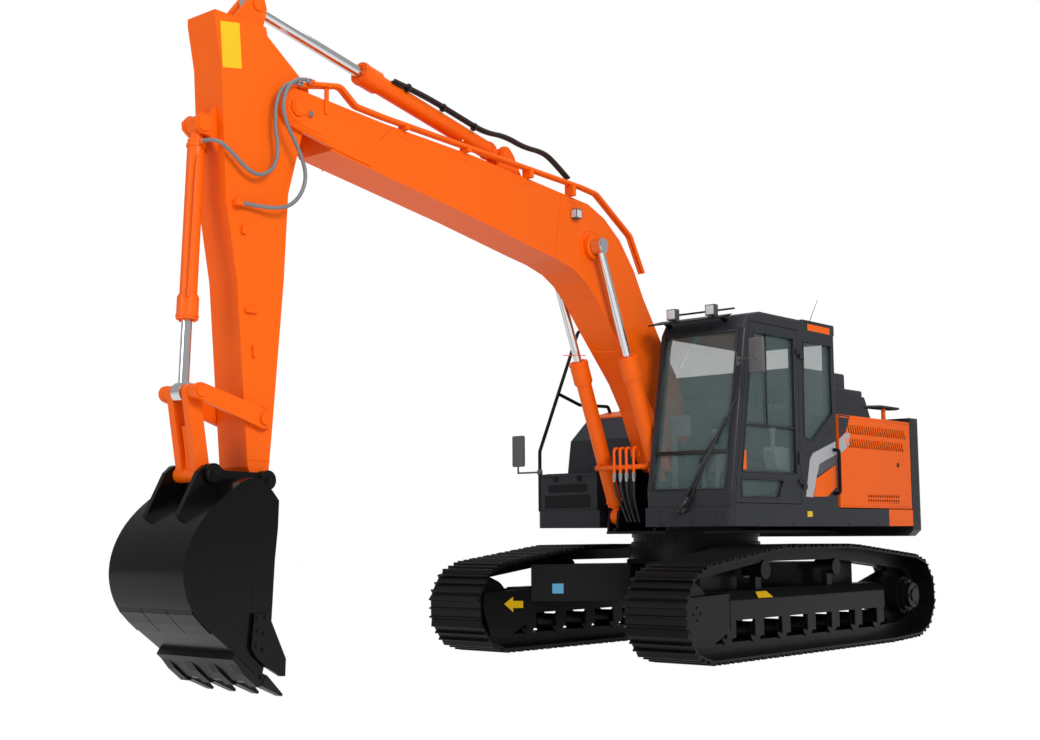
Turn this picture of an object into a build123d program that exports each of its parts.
from build123d import *
from math import hypot
import os

# A crawler excavator of the 18 tonne class, in millimetres.
# Modelling frame: X forward, Y to the left (cab side), Z up, slew axis at X = 0, ground at Z = 0.
# Every solid is moved by slew_x at the end, so that the origin lies under the middle of the machine.

slew_x = -1780

# Crawler
gauge = 2160                 # between the two track centres
shoe_width = 600
shoe_count = 48
shoe_plate = 12
grouser_height = 25
grouser_tip = 9              # width of a grouser at its tip
grouser_root = 24
pin_to_plate = 52            # from the chain's pins up to the shoe plate
link_depth = 53              # from the chain's pins down to the rail
rail_inner = 46              # the two rails run from here to rail_outer, from the track centre
rail_outer = 92
wrap_radius = 313            # pitch circle at the idler and the sprocket
idler_x = 1828
sprocket_x = -1830
sprocket_rise = 22
carrier_x = (700, -550)
carrier_pin_z = 851          # height of the chain's pins over the carrier rollers
carrier_radius = 70
roller_radius = 78
roller_xs = (1330, 890, 450, 10, -430, -870, -1310)
running_gap = 0.3

pin_height = grouser_height + shoe_plate + pin_to_plate
rail_height = pin_height + link_depth
idler_z = pin_height + wrap_radius
sprocket_z = idler_z + sprocket_rise
roller_z = rail_height + roller_radius
carrier_z = carrier_pin_z - link_depth - carrier_radius
side_ys = (gauge / 2, -gauge / 2)

# Track frames and car body
frame_half = 150
frame_low = 250
frame_box_low = 325
frame_shoulder = 490
frame_high = 560
frame_front = 1400
frame_rear = -1400
drive_plate = 240
yoke_plate = 22
leg_low = 430
leg_high = 765
body_half_x = 560
body_half_y = 430
ring_radius = 590
ring_bottom = 930
ring_top = 1004

# Upper structure
deck_low = 1040
deck_plate = 25
skirt_low = 1100
skirt_high = 1262
half_width = 1250
skirt_depth = 110
upper_rear = -2050
tail_radius = 2600
weight_front = upper_rear - 6
weight_low = 1000
weight_high = 2190

# Pins of the working arm in the side view (X, Z)
boom_foot = (520, 1750)
boom_tip = (5140, 4015)
boom_cylinder_foot = (850, 1200)
boom_cylinder_pin = (1800, 3520)
arm_cylinder_base = (2790, 4155)
arm_cylinder_eye = (5400, 4720)
bucket_cylinder_base = (5835, 3775)
rocker_pivot = (5386, 1822)
link_pin = (5905, 1976)
bucket_pin = (5370, 1412)
bucket_link_pin = (5812, 1446)

# Widths across the working arm, from the centre plane
boom_half = 180
arm_half = 150
side_gap = 5
fork_plate = 35
boss_half = 200
bracket_plate = 30
boom_cylinder_y = 276
eye_half = 45
foot_half = 35                # eye of a boom cylinder's foot
foot_gap = 37
lug_plate = 28
ear_plate = 36
bucket_half = 400

# Cylinders: barrel, gland and rod radii
boom_barrel = 68
boom_gland = 85
boom_rod = 36
arm_barrel = 72
arm_gland = 88
arm_rod = 42
bucket_barrel = 58
bucket_gland = 72
bucket_rod = 35
pin_radius = 40
pin_fit = 0.3

# Cab
cab_right = 366
cab_left = half_width
cab_floor = skirt_high + 0.3        # on its rubber mounts
cab_roof = 2965
cab_rear = -535
cab_wall = 52
glass = 6


def across(y):
    """Plane of the side view at this Y; an extrusion from it runs towards the right."""
    return Plane.XZ.offset(-y)


def prism(outline, y_low, y_high, mode=Mode.ADD):
    """Plate with this outline in the side view, between two Y."""
    with BuildSketch(across(y_high)) as face:
        with BuildLine():
            Polyline(*outline, close=True)
        make_face()
    extrude(face.sketch, amount=y_high - y_low, mode=mode)


def slab(outline, z_low, z_high, mode=Mode.ADD):
    """Plate with this outline seen from above, between two Z."""
    with BuildSketch(Plane.XY.offset(z_low)) as face:
        with BuildLine():
            Polyline(*outline, close=True)
        make_face()
    extrude(face.sketch, amount=z_high - z_low, mode=mode)


def block(low, high, mode=Mode.ADD):
    """Square block between two opposite corners."""
    with Locations(tuple((low[i] + high[i]) / 2 for i in range(3))):
        Box(high[0] - low[0], high[1] - low[1], high[2] - low[2], mode=mode)


def drum(centre, radius, y_low, y_high, mode=Mode.ADD):
    """Cylinder that lies across the machine."""
    with Locations(Location((centre[0], (y_low + y_high) / 2, centre[1]), (90, 0, 0))):
        Cylinder(radius, y_high - y_low, mode=mode)


def bar(start, end, radius, y, mode=Mode.ADD):
    """Round bar between two points of the side view."""
    run = Vector(end[0] - start[0], 0, end[1] - start[1])
    with BuildSketch(Plane(origin=(start[0], y, start[1]), z_dir=run)) as face:
        Circle(radius)
    extrude(face.sketch, amount=run.length, mode=mode)


def along(start, end, distance):
    """Point this far from start on the way to end."""
    run = hypot(end[0] - start[0], end[1] - start[1])
    share = distance / run
    return (start[0] + (end[0] - start[0]) * share, start[1] + (end[1] - start[1]) * share)


def save(piece, name):
    """Label a finished piece and write it in the object's own frame."""
    solid = piece.part.moved(Location((slew_x, 0, 0)))
    solid.label = name
    export_step(solid, f"parts/{name}.step")


os.makedirs("parts", exist_ok=True)

# Chain path: the taut loop round idler, carrier rollers, sprocket and the last track roller
wheels = [
    (idler_x, idler_z, wrap_radius),
    (carrier_x[0], carrier_z, carrier_radius + link_depth),
    (carrier_x[1], carrier_z, carrier_radius + link_depth),
    (sprocket_x, sprocket_z, wrap_radius),
    (roller_xs[-1], roller_z, roller_radius + link_depth),
]
with BuildSketch() as loop_face:
    for wheel_x, wheel_z, wheel_radius in wheels:
        with Locations((wheel_x, wheel_z)):
            Circle(wheel_radius)
    make_hull()
loop_wire = loop_face.sketch.faces()[0].outer_wire()
pins = [loop_wire @ (i / shoe_count) for i in range(shoe_count)]
turning = sum(pins[i - 1].X * pins[i].Y - pins[i].X * pins[i - 1].Y for i in range(shoe_count))
if turning < 0:
    pins.reverse()

# Half of a shoe's side view, from its leading edge: share of the pitch, height above the pins
plate_top = pin_to_plate + shoe_plate
tip_top = plate_top + grouser_height
notch_top = pin_to_plate + 4


def shoe_outline(first, second):
    """Outer outline of one triple grouser shoe, between two chain pins."""
    run = second - first
    step = run.length
    ahead = run.normalized()
    out = Vector(ahead.Y, -ahead.X)
    points = [first + out * notch_top]
    for middle in (0.1, 0.5, 0.9):
        centre = middle * step
        for shift, height in (
            (-grouser_root / 2, plate_top),
            (-grouser_tip / 2, tip_top),
            (grouser_tip / 2, tip_top),
            (grouser_root / 2, plate_top),
        ):
            at_end = (middle == 0.1 and shift == -grouser_root / 2)
            at_end = at_end or (middle == 0.9 and shift == grouser_root / 2)
            if not at_end:
                points.append(first + ahead * (centre + shift) + out * height)
    return points


def ring_points(height):
    """The chain's polygon, moved out from its pins by this height."""
    corners = []
    for i in range(shoe_count):
        before, here, after = pins[i - 1], pins[i], pins[(i + 1) % shoe_count]
        one = (here - before).normalized()
        two = (after - here).normalized()
        out_one = Vector(one.Y, -one.X)
        out_two = Vector(two.Y, -two.X)
        bisector = (out_one + out_two).normalized()
        reach = height / max(bisector.dot(out_one), 0.5)
        corners.append(here + bisector * reach)
    return corners


def chain_clearance(x, z):
    """Largest radius of a wheel at this centre that just clears the rails."""
    rail = ring_points(-link_depth)
    nearest = 1e9
    for i in range(shoe_count):
        first, second = rail[i - 1], rail[i]
        run = second - first
        share = ((x - first.X) * run.X + (z - first.Y) * run.Y) / run.length**2
        share = min(1, max(0, share))
        foot_x = first.X + run.X * share
        foot_z = first.Y + run.Y * share
        nearest = min(nearest, hypot(x - foot_x, z - foot_z))
    return nearest - running_gap


belt_outline = []
for i in range(shoe_count):
    belt_outline += [(p.X, p.Y) for p in shoe_outline(pins[i], pins[(i + 1) % shoe_count])]
plate_inside = [(p.X, p.Y) for p in ring_points(pin_to_plate - 4)]
rail_outside = [(p.X, p.Y) for p in ring_points(pin_to_plate)]
rail_inside = [(p.X, p.Y) for p in ring_points(-link_depth)]

# Tracks: shoes and chain as one loop a side
for side, y in zip(("left", "right"), side_ys):
    with BuildPart() as track:
        prism(belt_outline, y - shoe_width / 2, y + shoe_width / 2)
        prism(plate_inside, y - shoe_width, y + shoe_width, mode=Mode.SUBTRACT)
        for low, high in ((y - rail_outer, y - rail_inner), (y + rail_inner, y + rail_outer)):
            prism(rail_outside, low, high)
            prism(rail_inside, low, high, mode=Mode.SUBTRACT)
    save(track, f"track_{side}")

# Idlers: a flanged wheel in a yoke at the front of each side
idler_tread = chain_clearance(idler_x, idler_z)
with BuildPart() as idlers:
    for y in side_ys:
        drum((idler_x, idler_z), idler_tread, y - rail_outer, y + rail_outer)
        drum((idler_x, idler_z), idler_tread + 20, y - 32, y + 32)
        drum((idler_x, idler_z), 75, y - frame_half + yoke_plate, y + frame_half - yoke_plate)
save(idlers, "idlers")

# Sprockets: a toothed ring between the rails, bolted to the final drive's hub
tooth_count = 21
sprocket_root = wrap_radius - 38
with BuildPart() as sprockets:
    for y in side_ys:
        drum((sprocket_x, sprocket_z), sprocket_root, y - 28, y + 28)
        with BuildSketch(across(y + 24)) as teeth:
            with Locations((sprocket_x, sprocket_z)):
                with PolarLocations(sprocket_root + 14, tooth_count):
                    Trapezoid(54, 42, 62, rotation=-90)
        extrude(teeth.sketch, amount=48)
        drum((sprocket_x, sprocket_z), 178, y - 30, y + 30, mode=Mode.SUBTRACT)
save(sprockets, "sprockets")

# Final drives: a stepped hub outside, a motor case inside
with BuildPart() as final_drives:
    for y in side_ys:
        out = 1 if y > 0 else -1
        for radius, start, end in (
            (177.7, -60, 150), (150, 150, 200), (120, 200, 250), (60, 250, 262), (205, -120, -60),
            (140, -230, -120),
        ):
            low, high = sorted((y + out * start, y + out * end))
            drum((sprocket_x, sprocket_z), radius, low, high)
save(final_drives, "final_drives")

# Track rollers under the frames and carrier rollers above them
with BuildPart() as track_rollers:
    for y in side_ys:
        for x in roller_xs:
            radius = chain_clearance(x, roller_z)
            drum((x, roller_z), radius, y - 110, y + 110)
            drum((x, roller_z), radius + 14, y - 110, y - rail_outer - 4)
            drum((x, roller_z), radius + 14, y + rail_outer + 4, y + 110)
            drum((x, roller_z), 30, y - 132, y + 132)
save(track_rollers, "track_rollers")

with BuildPart() as carrier_rollers:
    for y in side_ys:
        for x in carrier_x:
            radius = chain_clearance(x, carrier_z)
            drum((x, carrier_z), radius, y - 100, y + 100)
            drum((x, carrier_z), radius + 12, y + 94, y + 108)
            block((x - 45, y - 30, frame_high), (x + 45, y + 30, carrier_z - 20))
save(carrier_rollers, "carrier_rollers")

# Track frames: a welded box with a yoke in front and a drive plate behind
with BuildPart() as track_frames:
    for y in side_ys:
        out = 1 if y > 0 else -1
        with BuildSketch(Plane.YZ.offset(frame_rear)) as section:
            with BuildLine():
                Polyline(
                    (y - frame_half, frame_box_low),
                    (y - frame_half, frame_shoulder),
                    (y - frame_half + 70, frame_high),
                    (y + frame_half - 70, frame_high),
                    (y + frame_half, frame_shoulder),
                    (y + frame_half, frame_box_low),
                    close=True,
                )
            make_face()
        extrude(section.sketch, amount=frame_front - frame_rear)
        for face_y in (y - frame_half, y + frame_half - yoke_plate):
            prism(
                [
                    (frame_front - 60, frame_low), (frame_front + 260, frame_low - 130),
                    (idler_x + 60, frame_low - 110), (idler_x + 160, idler_z),
                    (idler_x + 130, frame_shoulder + 40), (frame_front - 60, frame_shoulder + 55),
                ],
                face_y, face_y + yoke_plate,
            )
        for x in roller_xs:
            for low in (y - frame_half, y + frame_half - 18):
                block((x - 70, low, roller_z - 38), (x + 70, low + 18, frame_box_low))
            drum((x, roller_z), 30 + pin_fit, y - 132 - pin_fit, y + 132 + pin_fit, mode=Mode.SUBTRACT)
        drive_low, drive_high = sorted((y - out * 80, y - out * 120))
        prism(
            [
                (frame_rear + 10, frame_box_low), (frame_rear + 10, frame_high),
                (sprocket_x, sprocket_z + drive_plate),
                (sprocket_x - 0.7 * drive_plate, sprocket_z + 0.7 * drive_plate),
                (sprocket_x - drive_plate, sprocket_z),
                (sprocket_x - 0.7 * drive_plate, sprocket_z - 0.7 * drive_plate),
                (sprocket_x, sprocket_z - drive_plate),
            ],
            drive_low, drive_high,
        )
        drum((sprocket_x, sprocket_z), 205 + pin_fit, y - 400, y + 400, mode=Mode.SUBTRACT)
save(track_frames, "track_frames")

# Car body: a box under the slew ring with a leg to each corner
with BuildPart() as car_body:
    block((-body_half_x, -body_half_y, leg_low), (body_half_x, body_half_y, leg_high + 40))
    with Locations((0, 0, (leg_high + ring_bottom) / 2 + 20)):
        Cylinder(620, ring_bottom - leg_high - 40)
    fillet(car_body.edges().filter_by(Axis.Z).sort_by(SortBy.LENGTH)[-4:], 60)
save(car_body, "car_body")

with BuildPart() as car_body_legs:
    for sx in (1, -1):
        for sy in (1, -1):
            reach = gauge / 2 - frame_half
            with BuildSketch(Plane.XY.offset(leg_low)) as plan:
                with BuildLine():
                    Polyline(
                        (sx * 60, sy * body_half_y), (sx * body_half_x, sy * body_half_y),
                        (sx * body_half_x, sy * 200), (sx * 780, sy * 200), (sx * 1330, sy * reach),
                        (sx * 760, sy * reach), (sx * 420, sy * 640),
                        close=True,
                    )
                make_face()
            extrude(plan.sketch, amount=leg_high - leg_low)
save(car_body_legs, "car_body_legs")

with BuildPart() as slew_ring:
    with Locations((0, 0, (ring_bottom + ring_top) / 2)):
        Cylinder(ring_radius, ring_top - ring_bottom)
        Cylinder(430, ring_top - ring_bottom, mode=Mode.SUBTRACT)
    with Locations((0, 0, ring_bottom + 12)):
        Cylinder(612, 24)
        Cylinder(500, 24, mode=Mode.SUBTRACT)
save(slew_ring, "slew_ring")

# Upper frame: base plate, two webs that carry the working arm, cross members and side decks
web_y = 206
base_outline = [
    (960, -330), (1000, -200), (1000, 200), (960, 330), (640, 520), (-1700, 520), (weight_front, 480),
    (weight_front, -480), (-1700, -520), (640, -520),
]
with BuildPart() as main_frame:
    slab(base_outline, deck_low, deck_low + deck_plate)
    with Locations((0, 0, (ring_top + deck_low) / 2 + 0.15)):
        Cylinder(ring_radius + 15, deck_low - ring_top - 0.3)
    with Locations((0, 0, deck_low)):
        Cylinder(360, 120, mode=Mode.SUBTRACT)
    for y in (-web_y - bracket_plate, web_y):
        prism(
            [
                (980, deck_low + 5), (980, 1090), (880, 1095), (700, 1260),
                (boom_foot[0] + 135, boom_foot[1]), (boom_foot[0] + 95, boom_foot[1] + 100),
                (boom_foot[0], boom_foot[1] + 135), (boom_foot[0] - 110, boom_foot[1] + 90),
                (-250, 1400), (-500, skirt_high - 12), (weight_front, skirt_high - 12), (weight_front, deck_low + 5),
            ],
            y, y + bracket_plate,
        )
    drum(boom_foot, pin_radius + 12, -web_y - bracket_plate - 25, -web_y)
    drum(boom_foot, pin_radius + 12, web_y, web_y + bracket_plate + 25)
    drum(boom_foot, pin_radius, -web_y, web_y)
    for x in (-1500, -560, 250):
        block((x - 12, -web_y, deck_low), (x + 12, web_y, 1240))
    for side in (1, -1):
        y_low, y_high = sorted((side * (web_y + 10), side * (half_width - skirt_depth)))
        for x in (-1900, -1000, -200, 560):
            block((x - 40, y_low, deck_low + 60), (x + 40, y_high, skirt_high - 12))
        for low, high in (
            (boom_cylinder_y - foot_gap - lug_plate, boom_cylinder_y - foot_gap),
            (boom_cylinder_y + foot_gap, boom_cylinder_y + foot_gap + lug_plate),
        ):
            y_low, y_high = sorted((side * low, side * high))
            foot_x, foot_z = boom_cylinder_foot
            prism(
                [
                    (foot_x - 180, deck_low + 5), (foot_x - 130, foot_z - 40), (foot_x - 60, foot_z + 50),
                    (foot_x, foot_z + 78), (foot_x + 60, foot_z + 50), (foot_x + 85, foot_z - 60),
                    (foot_x + 85, deck_low + 5),
                ],
                y_low, y_high,
            )
        pin_low, pin_high = sorted(
            (side * (boom_cylinder_y - foot_gap), side * (boom_cylinder_y + foot_gap))
        )
        drum(boom_cylinder_foot, pin_radius - 5, pin_low, pin_high)
save(main_frame, "main_frame")

# Side skirts: the dark beams round the deck's edge, and the orange pieces behind them
skirt_front = 1310
skirt_split = -1530
with BuildPart() as deck_skirts:
    slab(
        [
            (skirt_split, half_width), (skirt_front, half_width), (skirt_front, cab_right),
            (skirt_front - skirt_depth, cab_right), (skirt_front - skirt_depth, half_width - skirt_depth),
            (skirt_split, half_width - skirt_depth),
        ],
        skirt_low, skirt_high,
    )
    fillet(deck_skirts.edges().filter_by(Axis.Z).group_by(Axis.X)[-1].sort_by(Axis.Y)[-1], 60)
    right_front = 880
    slab(
        [
            (skirt_split, -half_width), (right_front - 60, -half_width), (right_front, -half_width + 60),
            (right_front, -470), (right_front - skirt_depth, -470),
            (right_front - skirt_depth, -half_width + skirt_depth), (skirt_split, -half_width + skirt_depth),
        ],
        skirt_low, skirt_high,
    )
save(deck_skirts, "deck_skirts")

with BuildPart() as rear_skirts:
    for side in (1, -1):
        y_low, y_high = sorted((side * (half_width - skirt_depth), side * half_width))
        block((upper_rear, y_low, skirt_low), (skirt_split, y_high, skirt_high))
save(rear_skirts, "rear_skirts")

with BuildPart() as deck_plates:
    deck_low_face = skirt_high - 12
    inner_edge = web_y + bracket_plate + 10
    block((-2040, inner_edge, deck_low_face), (600, half_width - skirt_depth, skirt_high))
    block((600, cab_right, deck_low_face), (skirt_front - skirt_depth, half_width - skirt_depth, skirt_high))
    block((-2040, -half_width + skirt_depth, deck_low_face), (600, -inner_edge, skirt_high))
    block((600, -half_width + skirt_depth, deck_low_face), (right_front - skirt_depth, -cab_right, skirt_high))
save(deck_plates, "deck_plates")

# Counterweight: one casting, round at the tail, with two lifting eyes
eye_bore = 35
with BuildPart() as counterweight:
    with BuildSketch(Plane.XY.offset(weight_low)) as plan:
        with Locations((0, 0)):
            Circle(tail_radius)
        with Locations((-tail_radius, 0)):
            Rectangle(2 * (tail_radius + weight_front), 2 * half_width - 4, mode=Mode.INTERSECT)
    extrude(plan.sketch, amount=weight_high - weight_low)
    side_edges = counterweight.edges().filter_by(Axis.Z).group_by(Axis.X)[0]
    fillet(side_edges, 130)
    chamfer(counterweight.faces().sort_by(Axis.Z)[0].edges().group_by(Axis.X)[0], 60)
    for y in (-420, 420):
        with BuildSketch(across(y + 25)) as eye:
            with Locations((-2300, weight_high + 60)):
                Circle(75)
            with Locations((-2300, weight_high + 10)):
                Rectangle(150, 100)
            with Locations((-2300, weight_high + 62)):
                Circle(eye_bore, mode=Mode.SUBTRACT)
        extrude(eye.sketch, amount=50)
save(counterweight, "counterweight")

# Engine bay: posts, walls and roof frame round one plain engine block
bay_front = -580
bay_rear = -2040
bay_wall = 30
bay_half = half_width - 42
bay_top = 2130
with BuildPart() as engine_bay:
    block((bay_front - bay_wall, -bay_half, skirt_high), (bay_front, bay_half, bay_top))
    block((bay_rear, -bay_half, skirt_high), (bay_rear + bay_wall, bay_half, bay_top))
    for side in (1, -1):
        y_low, y_high = sorted((side * (bay_half - 60), side * bay_half))
        block((bay_rear, y_low, bay_top - 60), (bay_front, y_high, bay_top))
        for x in (bay_front - 90, bay_rear):
            block((x, y_low, skirt_high), (x + 90, y_high, bay_top))
    slab(
        [(bay_rear, -bay_half), (bay_front, -bay_half), (bay_front, bay_half), (bay_rear, bay_half)],
        bay_top, bay_top + 12,
    )
    block((-1950, -850, bay_top - 5), (-700, 850, bay_top + 20), mode=Mode.SUBTRACT)
save(engine_bay, "engine_bay")

with BuildPart() as engine_block:
    block((-1750, -450, skirt_high), (-950, 650, 1950))
    chamfer(engine_block.edges().filter_by(Axis.Y), 80)
save(engine_block, "engine_block")

# Engine hood: a raised lid over the bay, open below
hood_top = 2420
hood_foot = bay_top + 12 + running_gap
hood_wall = 18
with BuildPart() as engine_hood:
    for inset, mode in ((0, Mode.ADD), (hood_wall, Mode.SUBTRACT)):
        with BuildSketch(Plane.XY.offset(hood_foot)) as foot:
            with Locations((-1325, 0)):
                RectangleRounded(1330 - 2 * inset, 1780 - 2 * inset, 60)
        extrude(foot.sketch, amount=hood_top - hood_foot - inset, taper=14, mode=mode)
save(engine_hood, "engine_hood")

# Service doors: pressed panels with two rows of slanted slots and a flat vent below
door_thick = 38
door_low = 1272
door_high = bay_top + 12
door_front = -562
door_rear = -2044
slot_count = 26


def service_door(side):
    """Panel of one side, with its slots."""
    y_low, y_high = sorted((side * (bay_half + running_gap), side * (bay_half + running_gap + door_thick)))
    block((door_rear, y_low, door_low), (door_front, y_high, door_high))
    block(
        (door_rear + 25, min(side * bay_half, side * (bay_half + door_thick - 6)), door_low + 25),
        (door_front - 25, max(side * bay_half, side * (bay_half + door_thick - 6)), door_high - 25),
        mode=Mode.SUBTRACT,
    )
    with BuildSketch(across(y_high + 1)) as slots:
        for row_z, first_x, last_x in ((2010, -760, -1920), (1880, -700, -1870)):
            step = (last_x - first_x) / (slot_count - 1)
            with Locations(*[(first_x + step * i, row_z) for i in range(slot_count)]):
                SlotOverall(95, 20, rotation=70)
        for row_z in (1345, 1385):
            with Locations(*[(-1130 - 48 * i, row_z) for i in range(14)]):
                Rectangle(30, 22)
    extrude(slots.sketch, amount=door_thick + 2, mode=Mode.SUBTRACT)


with BuildPart() as left_service_door:
    service_door(1)
save(left_service_door, "left_service_door")
with BuildPart() as right_service_door:
    service_door(-1)
save(right_service_door, "right_service_door")

# Cab: a hollow welded shell with its windows cut, seen from the side
cab_outline = [
    (1290, cab_floor), (1300, 1400), (1040, 2800), (960, 2920), (760, cab_roof), (-430, cab_roof),
    (cab_rear, 2880), (cab_rear, cab_floor),
]
front_low = (1300, 1400)
front_high = (1040, 2800)
hinge_x = 135
hinge_y = cab_left + 14
hinge_radius = 13
hinge_heights = (1450, 2620)
door_rear_x = 165
door_gap = 6


def front_x(z):
    """X of the windscreen's face at this height."""
    share = (z - front_low[1]) / (front_high[1] - front_low[1])
    return front_low[0] + share * (front_high[0] - front_low[0])


door_outline = [
    (door_rear_x, cab_floor + 35), (front_x(1310) - 70, cab_floor + 35), (front_x(1420) - 60, 1420),
    (front_x(2750) - 60, 2750), (front_x(2850) - 80, 2855), (door_rear_x, 2855),
]
door_window = [
    (door_rear_x + 75, 1560), (front_x(1560) - 130, 1560), (front_x(2700) - 130, 2700),
    (front_x(2770) - 150, 2775), (door_rear_x + 75, 2775),
]
door_foot_window = [
    (door_rear_x + 380, 1345), (front_x(1345) - 160, 1345), (front_x(1500) - 130, 1500),
    (door_rear_x + 300, 1500),
]
rear_quarter_window = [(80, 1900), (60, 2775), (cab_rear + 90, 2775), (cab_rear + 90, 2140), (-60, 1860)]
right_window = [
    (front_x(1500) - 110, 1500), (front_x(2700) - 110, 2700), (front_x(2770) - 130, 2780),
    (cab_rear + 90, 2780), (cab_rear + 90, 1800), (500, 1500),
]
screen_split = 1730
front_tilt = Plane(
    origin=(front_low[0], (cab_right + cab_left) / 2, front_low[1]),
    x_dir=(0, 1, 0),
    z_dir=(front_high[1] - front_low[1], 0, front_low[0] - front_high[0]),
)
front_run = hypot(front_high[0] - front_low[0], front_high[1] - front_low[1])
screen_half = (cab_left - cab_right) / 2 - 62
screens = ((15, 330), (346, front_run - 25))


with BuildPart() as cab_shell:
    with BuildSketch(across(cab_left)) as body:
        with BuildLine():
            Polyline(*cab_outline, close=True)
        make_face()
    extrude(body.sketch, amount=cab_left - cab_right)
    fillet(cab_shell.edges().filter_by(Plane.XZ).filter_by(lambda e: e.center().Z > cab_floor + 10), 34)
    with BuildSketch(across(cab_left - cab_wall)) as room:
        with BuildLine():
            Polyline(*cab_outline, close=True)
        make_face()
        offset(amount=-cab_wall, kind=Kind.INTERSECTION, mode=Mode.REPLACE)
    extrude(room.sketch, amount=cab_left - cab_right - 2 * cab_wall, mode=Mode.SUBTRACT)
    with BuildSketch(across(cab_left + 1)) as door_hole:
        with BuildLine():
            Polyline(*door_outline, close=True)
        make_face()
        offset(amount=door_gap, kind=Kind.INTERSECTION, mode=Mode.REPLACE)
    extrude(door_hole.sketch, amount=cab_wall + 2, mode=Mode.SUBTRACT)
    prism(rear_quarter_window, cab_left - cab_wall - 1, cab_left + 1, mode=Mode.SUBTRACT)
    prism(right_window, cab_right - 1, cab_right + cab_wall + 1, mode=Mode.SUBTRACT)
    for low, high in screens:
        with BuildSketch(front_tilt) as opening:
            with Locations((0, (low + high) / 2)):
                RectangleRounded(2 * screen_half, high - low, 30)
        extrude(opening.sketch, amount=120, both=True, mode=Mode.SUBTRACT)
    block((cab_rear - 1, cab_right + 110, 1900), (cab_rear + cab_wall + 1, cab_left - 110, 2800), mode=Mode.SUBTRACT)
    block((-50, cab_right + 180, cab_roof - cab_wall - 1), (600, cab_left - 180, cab_roof + 1), mode=Mode.SUBTRACT)
    for z in hinge_heights:
        with Locations((hinge_x, hinge_y, z)):
            Cylinder(hinge_radius, 40)
        block((hinge_x - 60, cab_left - 2, z - 20), (hinge_x - 4, hinge_y + 4, z + 20))
save(cab_shell, "cab_shell")

with BuildPart() as cab_glass:
    prism(rear_quarter_window, cab_left - 20 - glass, cab_left - 20)
    prism(right_window, cab_right + 20, cab_right + 20 + glass)
    for low, high in screens:
        with BuildSketch(front_tilt.offset(-18)) as pane:
            with Locations((0, (low + high) / 2)):
                RectangleRounded(2 * screen_half, high - low, 30)
        extrude(pane.sketch, amount=-glass)
    block((cab_rear + 16, cab_right + 110, 1900), (cab_rear + 16 + glass, cab_left - 110, 2800))
    block((-50, cab_right + 180, cab_roof - 26), (600, cab_left - 180, cab_roof - 26 + glass))
save(cab_glass, "cab_glass")

with BuildPart() as cab_door:
    prism(door_outline, cab_left - cab_wall, cab_left)
    prism(door_window, cab_left - cab_wall - 1, cab_left + 1, mode=Mode.SUBTRACT)
    prism(door_foot_window, cab_left - cab_wall - 1, cab_left + 1, mode=Mode.SUBTRACT)
    for z in hinge_heights:
        with Locations((hinge_x, hinge_y, z + 40 + running_gap)):
            Cylinder(hinge_radius, 40)
        leaf_low = z + 20 + running_gap
        block((hinge_x + 4, cab_left + 1, leaf_low), (hinge_x + 70, hinge_y + 4, leaf_low + 40))
        block((door_rear_x + 10, cab_left - 2, leaf_low), (hinge_x + 70, hinge_y + 4, leaf_low + 40))
save(cab_door, "cab_door")

with BuildPart() as cab_door_glass:
    prism(door_window, cab_left - 24 - glass, cab_left - 24)
    prism(door_foot_window, cab_left - 24 - glass, cab_left - 24)
save(cab_door_glass, "cab_door_glass")

# Visor and work lamps on the roof's front edge
with BuildPart() as cab_visor:
    prism([(1050, 2905), (1200, 2870), (1200, 2882), (1000, 2935)], cab_right - 20, cab_left - 150)
    for y in (cab_right + 60, cab_left - 240):
        prism([(940, 2890), (1060, 2906), (1060, 2890), (960, 2850)], y, y + 30)
    add(cab_shell.part, mode=Mode.SUBTRACT)
    block((500, cab_right, 2700), (980, cab_left, 2900), mode=Mode.SUBTRACT)
save(cab_visor, "cab_visor")
lamp_size = 95
lamp_foot = 2908.8
with BuildPart() as cab_lamps:
    for y in (cab_right + 150, cab_left - 330):
        block((1090, y, 2915), (1150, y + lamp_size, 2915 + lamp_size))
        block((1100, y + 35, lamp_foot), (1130, y + 60, 2916))
save(cab_lamps, "cab_lamps")

# Inside the cab: seat on its base, consoles with levers, pedals
seat_y = (cab_right + cab_left) / 2
with BuildPart() as seat_base:
    block((-60, seat_y - 190, cab_floor + cab_wall), (330, seat_y + 190, 1560))
    chamfer(seat_base.edges().filter_by(Axis.Z), 40)
save(seat_base, "seat_base")
with BuildPart() as operator_seat:
    block((-80, seat_y - 235, 1560.3), (400, seat_y + 235, 1680))
    prism([(-80, 1680), (60, 1680), (-60, 2210), (-190, 2210)], seat_y - 230, seat_y + 230)
    prism([(-98, 2240), (-58, 2240), (-100, 2420), (-170, 2420)], seat_y - 130, seat_y + 130)
    prism([(-140, 2205), (-100, 2205), (-100, 2245), (-140, 2245)], seat_y - 40, seat_y + 40)
save(operator_seat, "operator_seat")
with BuildPart() as controls:
    for side in (1, -1):
        y_low, y_high = sorted((seat_y + side * 245, seat_y + side * 360))
        prism([(-60, 1560), (430, 1600), (480, 1760), (430, 1800), (-60, 1790)], y_low, y_high)
        block((40, y_low + 20, cab_floor + cab_wall), (240, y_high - 20, 1600))
        with Locations((400, (y_low + y_high) / 2, 1870)):
            Cylinder(20, 150)
        with Locations((400, (y_low + y_high) / 2, 1960)):
            Sphere(34)
    block((960, cab_right + cab_wall + 5, 1900), (1000, cab_right + cab_wall + 200, 2080))
    block((970, cab_right + cab_wall + 20, cab_floor + cab_wall), (1000, cab_right + cab_wall + 60, 1900))
    for y in (seat_y - 70, seat_y + 70):
        prism([(960, cab_floor + cab_wall), (990, cab_floor + cab_wall), (920, 1760), (895, 1760)], y - 12, y + 12)
        block((880, y - 45, cab_floor + cab_wall), (1090, y + 45, cab_floor + cab_wall + 30))
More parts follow.
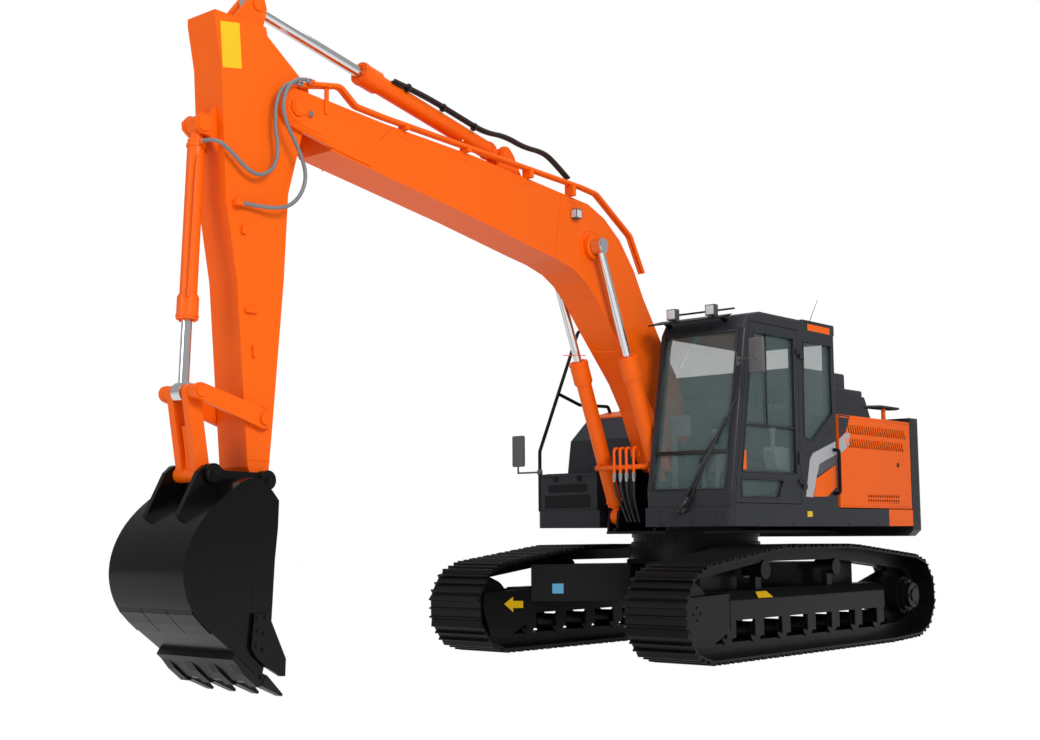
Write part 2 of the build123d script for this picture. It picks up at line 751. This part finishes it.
save(controls, "controls")

# Tanks and covers on the right, toolbox and its lid in front of them
right_inner = -400
right_outer = 45 - half_width
with BuildPart() as tank_covers:
    prism(
        [
            (440, skirt_high), (450, 1650), (400, 1960), (120, 2190), (-200, 2270), (bay_front + 2, 2290),
            (bay_front + 2, skirt_high),
        ],
        right_outer, right_inner,
    )
    fillet(tank_covers.edges().filter_by(Plane.XZ).filter_by(lambda e: e.center().Z > skirt_high + 10), 30)
save(tank_covers, "tank_covers")

tool_front = 850
tool_top = 1590
with BuildPart() as toolbox:
    block((450, right_outer, skirt_high), (tool_front, -520, tool_top))
    block((470, right_outer + 20, skirt_high + 20), (tool_front - 20, -540, tool_top + 1), mode=Mode.SUBTRACT)
save(toolbox, "toolbox")
with BuildPart() as toolbox_lid:
    block((452, right_outer + 10, tool_top + running_gap), (tool_front + 12, -520, tool_top + 25))
save(toolbox_lid, "toolbox_lid")

# Plate on the tank's top and the exhaust behind it
with BuildPart() as tank_plate:
    prism([(118, 2191.6), (-195, 2269.8), (-192, 2281.8), (121, 2203.6)], right_outer + 30, right_inner - 30)
save(tank_plate, "tank_plate")

exhaust_x = -330
exhaust_y = -1000
exhaust_foot = 2272
with BuildPart() as exhaust:
    with Locations((exhaust_x, exhaust_y, exhaust_foot)):
        Cone(125, 80, 50, align=(Align.CENTER, Align.CENTER, Align.MIN))
        Cylinder(78, 300, align=(Align.CENTER, Align.CENTER, Align.MIN))
    with Locations((exhaust_x, exhaust_y, exhaust_foot + 120)):
        Cylinder(70, 181, align=(Align.CENTER, Align.CENTER, Align.MIN), mode=Mode.SUBTRACT)
    add(tank_covers.part, mode=Mode.SUBTRACT)
save(exhaust, "exhaust")

# Rails: the long one up over the tanks with its branch, and the grab rail behind the door
rail_radius = 17
rail_y = 28 - half_width
rail_routes = [
    (
        [
            (842, rail_y, 1262), (842, rail_y, 1840), (220, rail_y, 3080), (-60, rail_y, 3180),
            (-360, rail_y, 3140), (-400, -1150, 2700), (-400, -1150, 2270),
        ],
        90,
    ),
    ([(549, rail_y, 2425), (300, -1150, 2325), (-100, -1100, 2330), (-140, -1100, 2260)], 30),
    ([(-440, 1250, 1400), (-440, 1310, 1400), (-440, 1310, 1800), (-440, 1250, 1800)], 25),
]
with BuildPart() as hand_rails:
    for points, bend in rail_routes:
        with BuildLine() as route:
            FilletPolyline(*points, radius=bend)
        with BuildSketch(Plane(origin=points[0], z_dir=route.line % 0)) as ring:
            Circle(rail_radius)
        sweep(ring.sketch, path=route.line)
    add(tank_covers.part, mode=Mode.SUBTRACT)
    add(tank_plate.part, mode=Mode.SUBTRACT)
save(hand_rails, "hand_rails")

# Mirrors on their arms: left at the cab's corner, right on the rail, rear on the side panel
with BuildPart() as mirrors:
    block((1262, 1430, 2360), (1300, 1580, 2660))
    block((815, -1580, 1700), (850, -1425, 2010))
    for points, bend in (
        ([(1105, 1225, 2500), (1180, 1262, 2500), (1245, 1505, 2500), (1275, 1505, 2510)], 25),
        ([(842, rail_y - 22, 1640), (842, -1500, 1640), (842, -1500, 1710)], 30),
    ):
        with BuildLine() as route:
            FilletPolyline(*points, radius=bend)
        with BuildSketch(Plane(origin=points[0], z_dir=route.line % 0)) as ring:
            Circle(11)
        sweep(ring.sketch, path=route.line)
    block((1080, 1190, 2460), (1112, 1232, 2540))
    with Locations((842, rail_y, 1640)):
        Cylinder(rail_radius + 9, 50)
        Cylinder(rail_radius + pin_fit, 50, mode=Mode.SUBTRACT)
    block((800, -1205, 1600), (870, -1100, 1700), mode=Mode.SUBTRACT)
    add(cab_shell.part, mode=Mode.SUBTRACT)
save(mirrors, "mirrors")


def shifted(points, distance):
    """Open outline moved to its right-hand side by a distance, as points."""
    moved = []
    for i, (x, z) in enumerate(points):
        before = points[max(i - 1, 0)]
        after = points[min(i + 1, len(points) - 1)]
        run_x = after[0] - before[0]
        run_z = after[1] - before[1]
        length = hypot(run_x, run_z)
        moved.append((x + run_z / length * distance, z - run_x / length * distance))
    return moved


def height_on(points, x):
    """Height of an outline, that runs towards lower X, at this X."""
    for (x_one, z_one), (x_two, z_two) in zip(points, points[1:]):
        if x_two <= x <= x_one:
            return z_one + (z_two - z_one) * (x - x_one) / (x_two - x_one)
    return points[-1][1]


# Boom: a bent box girder with a fork at its tip
boom_top = [
    (4870, 4140), (4290, 4090), (3300, 4040), (2140, 3930), (1830, 3900), (1600, 3810), (1380, 3650),
    (1170, 3400), (1030, 3160), (780, 2810), (540, 2505), (430, 2300), (375, 1955),
]
boom_belly = [
    (690, 1740), (800, 1910), (920, 2160), (1090, 2400), (1280, 2600), (1500, 2830), (1730, 3080),
    (1880, 3210), (2030, 3290), (2250, 3350), (2490, 3390), (3310, 3540), (4800, 3780),
]
foot_radius = 140
tip_radius = 140
fork_inner = arm_half + side_gap
fork_outer = fork_inner + fork_plate
with BuildPart() as boom:
    with BuildSketch(across(boom_half)) as web:
        with BuildLine():
            Polyline(*boom_top, (382, 1760), (640, 1640), *boom_belly, close=True)
        make_face()
        with Locations(boom_foot):
            Circle(foot_radius)
    extrude(web.sketch, amount=2 * boom_half)
    drum(boom_foot, foot_radius - 20, -boss_half, boss_half)
    for y_low, y_high in ((-fork_outer, -fork_inner), (fork_inner, fork_outer)):
        with BuildSketch(across(y_high)) as cheek:
            with BuildLine():
                Polyline(
                    (4300, 4075), (5120, 4015 + tip_radius), (5160, 4015 - tip_radius), (4700, 3780),
                    (4420, 3735), close=True,
                )
            make_face()
            with Locations(boom_tip):
                Circle(tip_radius)
        extrude(cheek.sketch, amount=y_high - y_low)
    for side in (1, -1):
        outer = side * (boom_cylinder_y - eye_half - 6)
        drum(boom_cylinder_pin, 105, min(side * 170, outer), max(side * 170, outer))
        drum(boom_tip, 95, min(side * fork_inner, side * 205), max(side * fork_inner, side * 205))
        drum((988, 2771), 75, min(side * 170, side * 187), max(side * 170, side * 187))
        low, high = sorted((side * (eye_half + 5), side * (eye_half + 5 + bracket_plate)))
        prism(
            [
                (2560, 3950), (2700, 4180), (2755, 4232), (2790, 4240), (2830, 4232), (2855, 4180),
                (2890, 4060), (3060, 3990), (3000, 3950),
            ],
            low, high,
        )
    drum(boom_foot, pin_radius + pin_fit, -boss_half, boss_half, mode=Mode.SUBTRACT)
    drum(boom_tip, pin_radius + pin_fit, -260, 260, mode=Mode.SUBTRACT)
    drum(arm_cylinder_base, pin_radius + pin_fit, -100, 100, mode=Mode.SUBTRACT)
save(boom, "boom")

with BuildPart() as boom_pins:
    drum(boom_tip, pin_radius, -222, 222)
    for y_low, y_high in ((-222, -205), (205, 222)):
        drum(boom_tip, pin_radius + 22, y_low, y_high)
    drum(arm_cylinder_base, pin_radius, -88, 88)
    for y_low, y_high in ((-88, -80.3), (80.3, 88)):
        drum(arm_cylinder_base, pin_radius + 14, y_low, y_high)
save(boom_pins, "boom_pins")

# Steel pipes along the boom's two upper edges, held by clamps. They run outside the fork, clear of
# the arm's heel, and a post on the fork carries them there.
pipe_radius = 17
pipe_ys = (172, 209)
pipe_tips = ((5098, 4182), (5050, 4208))
pipe_route = [
    (4744, 4262), (4590, 4150), (4300, 4128), (1940, 4026), (1740, 4005), (1250, 3705), (1065, 3390),
]
clamp_half = 22
clamp_xs = (4080, 3400, 2640, 2080)
post_x = 4850
with BuildPart() as boom_pipes:
    for side in (1, -1):
        for pipe_y, tip in zip(pipe_ys, pipe_tips):
            with BuildLine(Plane.XZ.offset(-side * pipe_y)) as route:
                FilletPolyline(tip, *pipe_route, radius=90)
            with BuildSketch(Plane(origin=route.line @ 0, z_dir=route.line % 0)) as ring:
                Circle(pipe_radius)
            sweep(ring.sketch, path=route.line)
        inner = pipe_ys[0] - pipe_radius
        outer = pipe_ys[1] + pipe_radius + 4
        low, high = sorted((side * (boom_half - 40), side * outer))
        for x in clamp_xs:
            base_z = height_on(boom_top, x + clamp_half) + running_gap
            top_z = height_on(pipe_route, x) + 6
            block((x - clamp_half, low, base_z), (x + clamp_half, high, top_z))
        low, high = sorted((side * (fork_outer + running_gap), side * (fork_outer + 12)))
        block((post_x, low, 4030), (post_x + 35, high, 4236))
        low, high = sorted((side * inner, side * outer))
        block((post_x, low, 4222), (post_x + 35, high, 4236))
save(boom_pipes, "boom_pipes")

with BuildPart() as boom_lamp:
    block((1990, boom_half, 3735), (2070, boom_half + 60, 3815))
save(boom_lamp, "boom_lamp")

# Arm: a tapering box girder with ears for its own cylinder and for the bucket cylinder
arm_outline = [
    (5385, 4540), (5820, 4550), (5820, 4500), (5760, 4200), (5700, 3270), (5600, 2750), (5533, 2000),
    (5488, 1500), (5440, 1400), (5310, 1400), (5310, 1490), (5280, 1820), (5200, 2790), (5170, 3400),
    (5050, 3850), (4985, 3980), (4985, 4100), (5000, 4200), (5370, 4480),
]
pivot_radius = 160
with BuildPart() as arm:
    with BuildSketch(across(arm_half)) as web:
        with BuildLine():
            Polyline(*arm_outline, close=True)
        make_face()
        with Locations(boom_tip):
            Circle(pivot_radius)
        with Locations(bucket_pin):
            Circle(70)
    extrude(web.sketch, amount=2 * arm_half)
    drum(rocker_pivot, 66, -arm_half - 4, arm_half + 4)
    for side in (1, -1):
        low, high = sorted((side * (eye_half + 5), side * (eye_half + 5 + bracket_plate)))
        prism(
            [
                (5375, 4470), (5322, 4700), (5345, 4775), (5400, 4797), (5455, 4775), (5640, 4530),
                (5640, 4470),
            ],
            low, high,
        )
        prism(
            [
                (5690, 4000), (5790, 3850), (5860, 3845), (5905, 3795), (5900, 3745), (5850, 3705),
                (5790, 3700), (5690, 3560),
            ],
            low, high,
        )
    drum(boom_tip, pin_radius + pin_fit, -200, 200, mode=Mode.SUBTRACT)
    drum(rocker_pivot, pin_radius + pin_fit, -200, 200, mode=Mode.SUBTRACT)
    drum(bucket_pin, pin_radius + pin_fit, -200, 200, mode=Mode.SUBTRACT)
    drum(bucket_cylinder_base, pin_radius + pin_fit, -100, 100, mode=Mode.SUBTRACT)
save(arm, "arm")

with BuildPart() as arm_pins:
    drum(rocker_pivot, pin_radius, -212, 212)
    drum(bucket_cylinder_base, pin_radius, -90, 90)
    for y_low, y_high in ((-90, -80.3), (80.3, 90)):
        drum(bucket_cylinder_base, pin_radius + 14, y_low, y_high)
    for side in (1, -1):
        eye_low, eye_high = sorted((side * 80.3, side * 92))
        drum(arm_cylinder_eye, pin_radius + 8, eye_low, eye_high)
save(arm_pins, "arm_pins")


def barrel(base, eye, end, gland_length, radii, y, half):
    """Cylinder tube with its eye at the base, a gland at the end and a bore for the rod."""
    tube, gland, rod = radii
    first = along(base, eye, tube + 45)
    gland_start = along(base, eye, end - gland_length)
    drum(base, tube + 6, y - half, y + half)
    bar(along(base, eye, 30), first, half - 1, y)
    bar(first, gland_start, tube, y)
    bar(gland_start, along(base, eye, end), gland, y)
    bar(along(base, eye, tube + 60), gland_start, tube - 12, y, mode=Mode.SUBTRACT)
    bar(gland_start, along(base, eye, end + 1), rod + pin_fit, y, mode=Mode.SUBTRACT)


def piston_rod(base, eye, inner, radii, y, half):
    """Rod with its eye outside and its piston inside the tube."""
    tube, gland, rod = radii
    bar(along(base, eye, inner), eye, rod, y)
    bar(along(base, eye, inner), along(base, eye, inner + 60), tube - 12 - pin_fit, y)
    drum(eye, rod + 32, y - half, y + half)


def reach(base, eye):
    """Distance between a cylinder's two pins as it stands."""
    return hypot(eye[0] - base[0], eye[1] - base[1])


# Boom cylinders: one each side of the boom, joined by a bar that carries the pipes
boom_radii = (boom_barrel, boom_gland, boom_rod)
boom_barrel_end = 1500
boom_rod_length = 1585
with BuildPart() as boom_cylinder_barrels:
    for y in (-boom_cylinder_y, boom_cylinder_y):
        barrel(boom_cylinder_foot, boom_cylinder_pin, boom_barrel_end, 200, boom_radii, y, foot_half)
        drum(boom_cylinder_foot, pin_radius - 5 + pin_fit, y - 60, y + 60, mode=Mode.SUBTRACT)
save(boom_cylinder_barrels, "boom_cylinder_barrels")
with BuildPart() as boom_cylinder_rods:
    for y in (-boom_cylinder_y, boom_cylinder_y):
        inner = reach(boom_cylinder_foot, boom_cylinder_pin) - boom_rod_length
        piston_rod(boom_cylinder_foot, boom_cylinder_pin, inner, boom_radii, y, eye_half)
        outer = y + (eye_half + 6) * (1 if y > 0 else -1)
        drum(boom_cylinder_pin, 44, min(y, outer), max(y, outer))
save(boom_cylinder_rods, "boom_cylinder_rods")

# Arm cylinder on the boom's back
arm_radii = (arm_barrel, arm_gland, arm_rod)
arm_barrel_end = 1620
arm_rod_length = 1800
with BuildPart() as arm_cylinder_barrel:
    barrel(arm_cylinder_base, arm_cylinder_eye, arm_barrel_end, 180, arm_radii, 0, eye_half)
    drum(arm_cylinder_base, pin_radius + pin_fit, -60, 60, mode=Mode.SUBTRACT)
save(arm_cylinder_barrel, "arm_cylinder_barrel")
with BuildPart() as arm_cylinder_rod:
    inner = reach(arm_cylinder_base, arm_cylinder_eye) - arm_rod_length
    piston_rod(arm_cylinder_base, arm_cylinder_eye, inner, arm_radii, 0, eye_half)
save(arm_cylinder_rod, "arm_cylinder_rod")

# Bucket cylinder on the arm's front
bucket_radii = (bucket_barrel, bucket_gland, bucket_rod)
bucket_barrel_end = 1320
bucket_rod_length = 1412
with BuildPart() as bucket_cylinder_barrel:
    barrel(bucket_cylinder_base, link_pin, bucket_barrel_end, 150, bucket_radii, 0, eye_half)
    drum(bucket_cylinder_base, pin_radius + pin_fit, -60, 60, mode=Mode.SUBTRACT)
save(bucket_cylinder_barrel, "bucket_cylinder_barrel")
with BuildPart() as bucket_cylinder_rod:
    inner = reach(bucket_cylinder_base, link_pin) - bucket_rod_length
    piston_rod(bucket_cylinder_base, link_pin, inner, bucket_radii, 0, eye_half)
save(bucket_cylinder_rod, "bucket_cylinder_rod")

# Bucket linkage: two rocker links on the arm, one H-shaped link down to the bucket
rocker_inner = 160
rocker_outer = 195
link_inner = 50
link_outer = 110
link_end = 52
link_boss = 54
link_waist = 215                # the two lugs are open this far below the upper pin
with BuildPart() as rocker_links:
    for side in (1, -1):
        low, high = sorted((side * rocker_inner, side * rocker_outer))
        with BuildSketch(across(high)) as strap:
            with Locations(rocker_pivot):
                Circle(66)
            with Locations(link_pin):
                Circle(54)
            make_hull()
        extrude(strap.sketch, amount=high - low)
        low, high = sorted((side * (link_outer + 2), side * (rocker_outer + 12)))
        drum(link_pin, pin_radius, low, high)
        low, high = sorted((side * (link_outer + 2), side * rocker_inner))
        drum(link_pin, link_end - 2, low, high)
    drum(rocker_pivot, pin_radius + pin_fit, -300, 300, mode=Mode.SUBTRACT)
save(rocker_links, "rocker_links")

with BuildPart() as h_link:
    for y_low, y_high in ((-link_outer, -link_inner), (link_inner, link_outer)):
        with BuildSketch(across(y_high)) as strap:
            with Locations(link_pin, bucket_link_pin):
                Circle(link_end)
            make_hull()
        extrude(strap.sketch, amount=y_high - y_low)
    web_start = along(link_pin, bucket_link_pin, link_waist)
    bar(web_start, bucket_link_pin, 36, 0)
    block(
        (bucket_link_pin[0] - 26, -link_inner, bucket_link_pin[1]),
        (bucket_link_pin[0] + 34, link_inner, web_start[1]),
    )
    drum(bucket_link_pin, link_boss, -arm_half, arm_half)
    drum(bucket_link_pin, pin_radius + pin_fit, -arm_half - 1, arm_half + 1, mode=Mode.SUBTRACT)
save(h_link, "h_link")

# Bucket: a rolled back between two side plates, open towards the machine
bucket_back = [
    (5591, 1416), (5692, 1404), (5800, 1340), (5990, 1190), (6120, 1010), (6165, 810), (6080, 570),
    (5940, 443), (5765, 310), (5600, 165),
]
bucket_mouth = [(5555, 130), (5500, 330), (5475, 500), (5453, 889), (5430, 1100), (5424, 1274), (5478, 1335)]
bucket_plate = 22
cavity = shifted(bucket_back, bucket_plate)
with BuildPart() as bucket_shell:
    with BuildSketch(across(bucket_half)) as side_view:
        with BuildLine():
            Spline(*bucket_back)
            Polyline(bucket_back[-1], *bucket_mouth, bucket_back[0])
        make_face()
    extrude(side_view.sketch, amount=2 * bucket_half)
    with BuildSketch(across(bucket_half - bucket_plate)) as hollow:
        with BuildLine():
            Spline(*cavity)
            Polyline(cavity[-1], (5300, cavity[-1][1] - 200), (5300, cavity[0][1]), cavity[0])
        make_face()
    extrude(hollow.sketch, amount=2 * (bucket_half - bucket_plate), mode=Mode.SUBTRACT)
save(bucket_shell, "bucket_shell")

ear_boss = 66
with BuildPart() as bucket_ears:
    for side in (1, -1):
        low, high = sorted((side * fork_inner, side * (fork_inner + ear_plate + 4)))
        prism(
            [
                (5304, 1385), (5312, 1442), (5370, 1478), (5440, 1462), (5705, 1468), (5765, 1500),
                (5812, 1510), (5865, 1498), (5915, 1458), (6060, 1180), (5990, 1100), (5560, 1300),
                (5420, 1335), (5340, 1350),
            ],
            low, high,
        )
        for pin in (bucket_pin, bucket_link_pin):
            boss_low, boss_high = sorted((side * fork_inner, side * 222))
            drum(pin, ear_boss, boss_low, boss_high)
    with BuildSketch(across(bucket_half + 1)) as inside:
        with BuildLine():
            Spline(*bucket_back)
            Polyline(bucket_back[-1], (5300, 165), (5300, 1300), (5560, 1300), bucket_back[0])
        make_face()
    extrude(inside.sketch, amount=2 * bucket_half + 2, mode=Mode.SUBTRACT)
    add(bucket_shell.part, mode=Mode.SUBTRACT)
    for pin in (bucket_pin, bucket_link_pin):
        drum(pin, pin_radius, -235, 235)
save(bucket_ears, "bucket_ears")

# Cutting edge with four tooth adapters, teeth on their noses, side cutters
tooth_ys = (-360, -120, 120, 360)
edge_back = (5708, 262)
nose = (5535, 130)
tooth_tip = (5372, 22)
with BuildPart() as bucket_edge:
    prism([(5765, 309), (5600, 164), (5572, 140), (5545, 112), (5572, 108), (5610, 125), (5785, 275)],
          -bucket_half, bucket_half)
    for y in tooth_ys:
        prism(
            [
                (5770, 270), (5690, 175), (5585, 90), (5540, 98), (5515, 140), (5520, 165), (5560, 185),
                (5660, 262), (5690, 262), (5620, 200), (5560, 130), (5600, 125), (5780, 280),
            ],
            y - 40, y + 40,
        )
    add(bucket_shell.part, mode=Mode.SUBTRACT)
save(bucket_edge, "bucket_edge")

with BuildPart() as bucket_teeth:
    aim_x = tooth_tip[0] - nose[0]
    aim_z = tooth_tip[1] - nose[1]
    length = hypot(aim_x, aim_z)
    for y in tooth_ys:
        for distance, wide, deep in ((0, 96, 78), (length, 66, 16)):
            share = distance / length
            centre = (nose[0] + aim_x * share, y, nose[1] + aim_z * share)
            with BuildSketch(Plane(origin=centre, x_dir=(0, 1, 0), z_dir=(aim_x, 0, aim_z))):
                Rectangle(wide, deep)
        loft()
    add(bucket_edge.part, mode=Mode.SUBTRACT)
save(bucket_teeth, "bucket_teeth")

cutter_plate = 25
with BuildPart() as side_cutters:
    for side in (1, -1):
        low, high = sorted((side * bucket_half, side * (bucket_half + cutter_plate)))
        prism(
            [
                (5634, 556), (5524, 557), (5489, 489), (5372, 256), (5376, 145), (5418, 148), (5535, 215),
                (5621, 287), (5655, 341),
            ],
            low, high,
        )
save(side_cutters, "side_cutters")
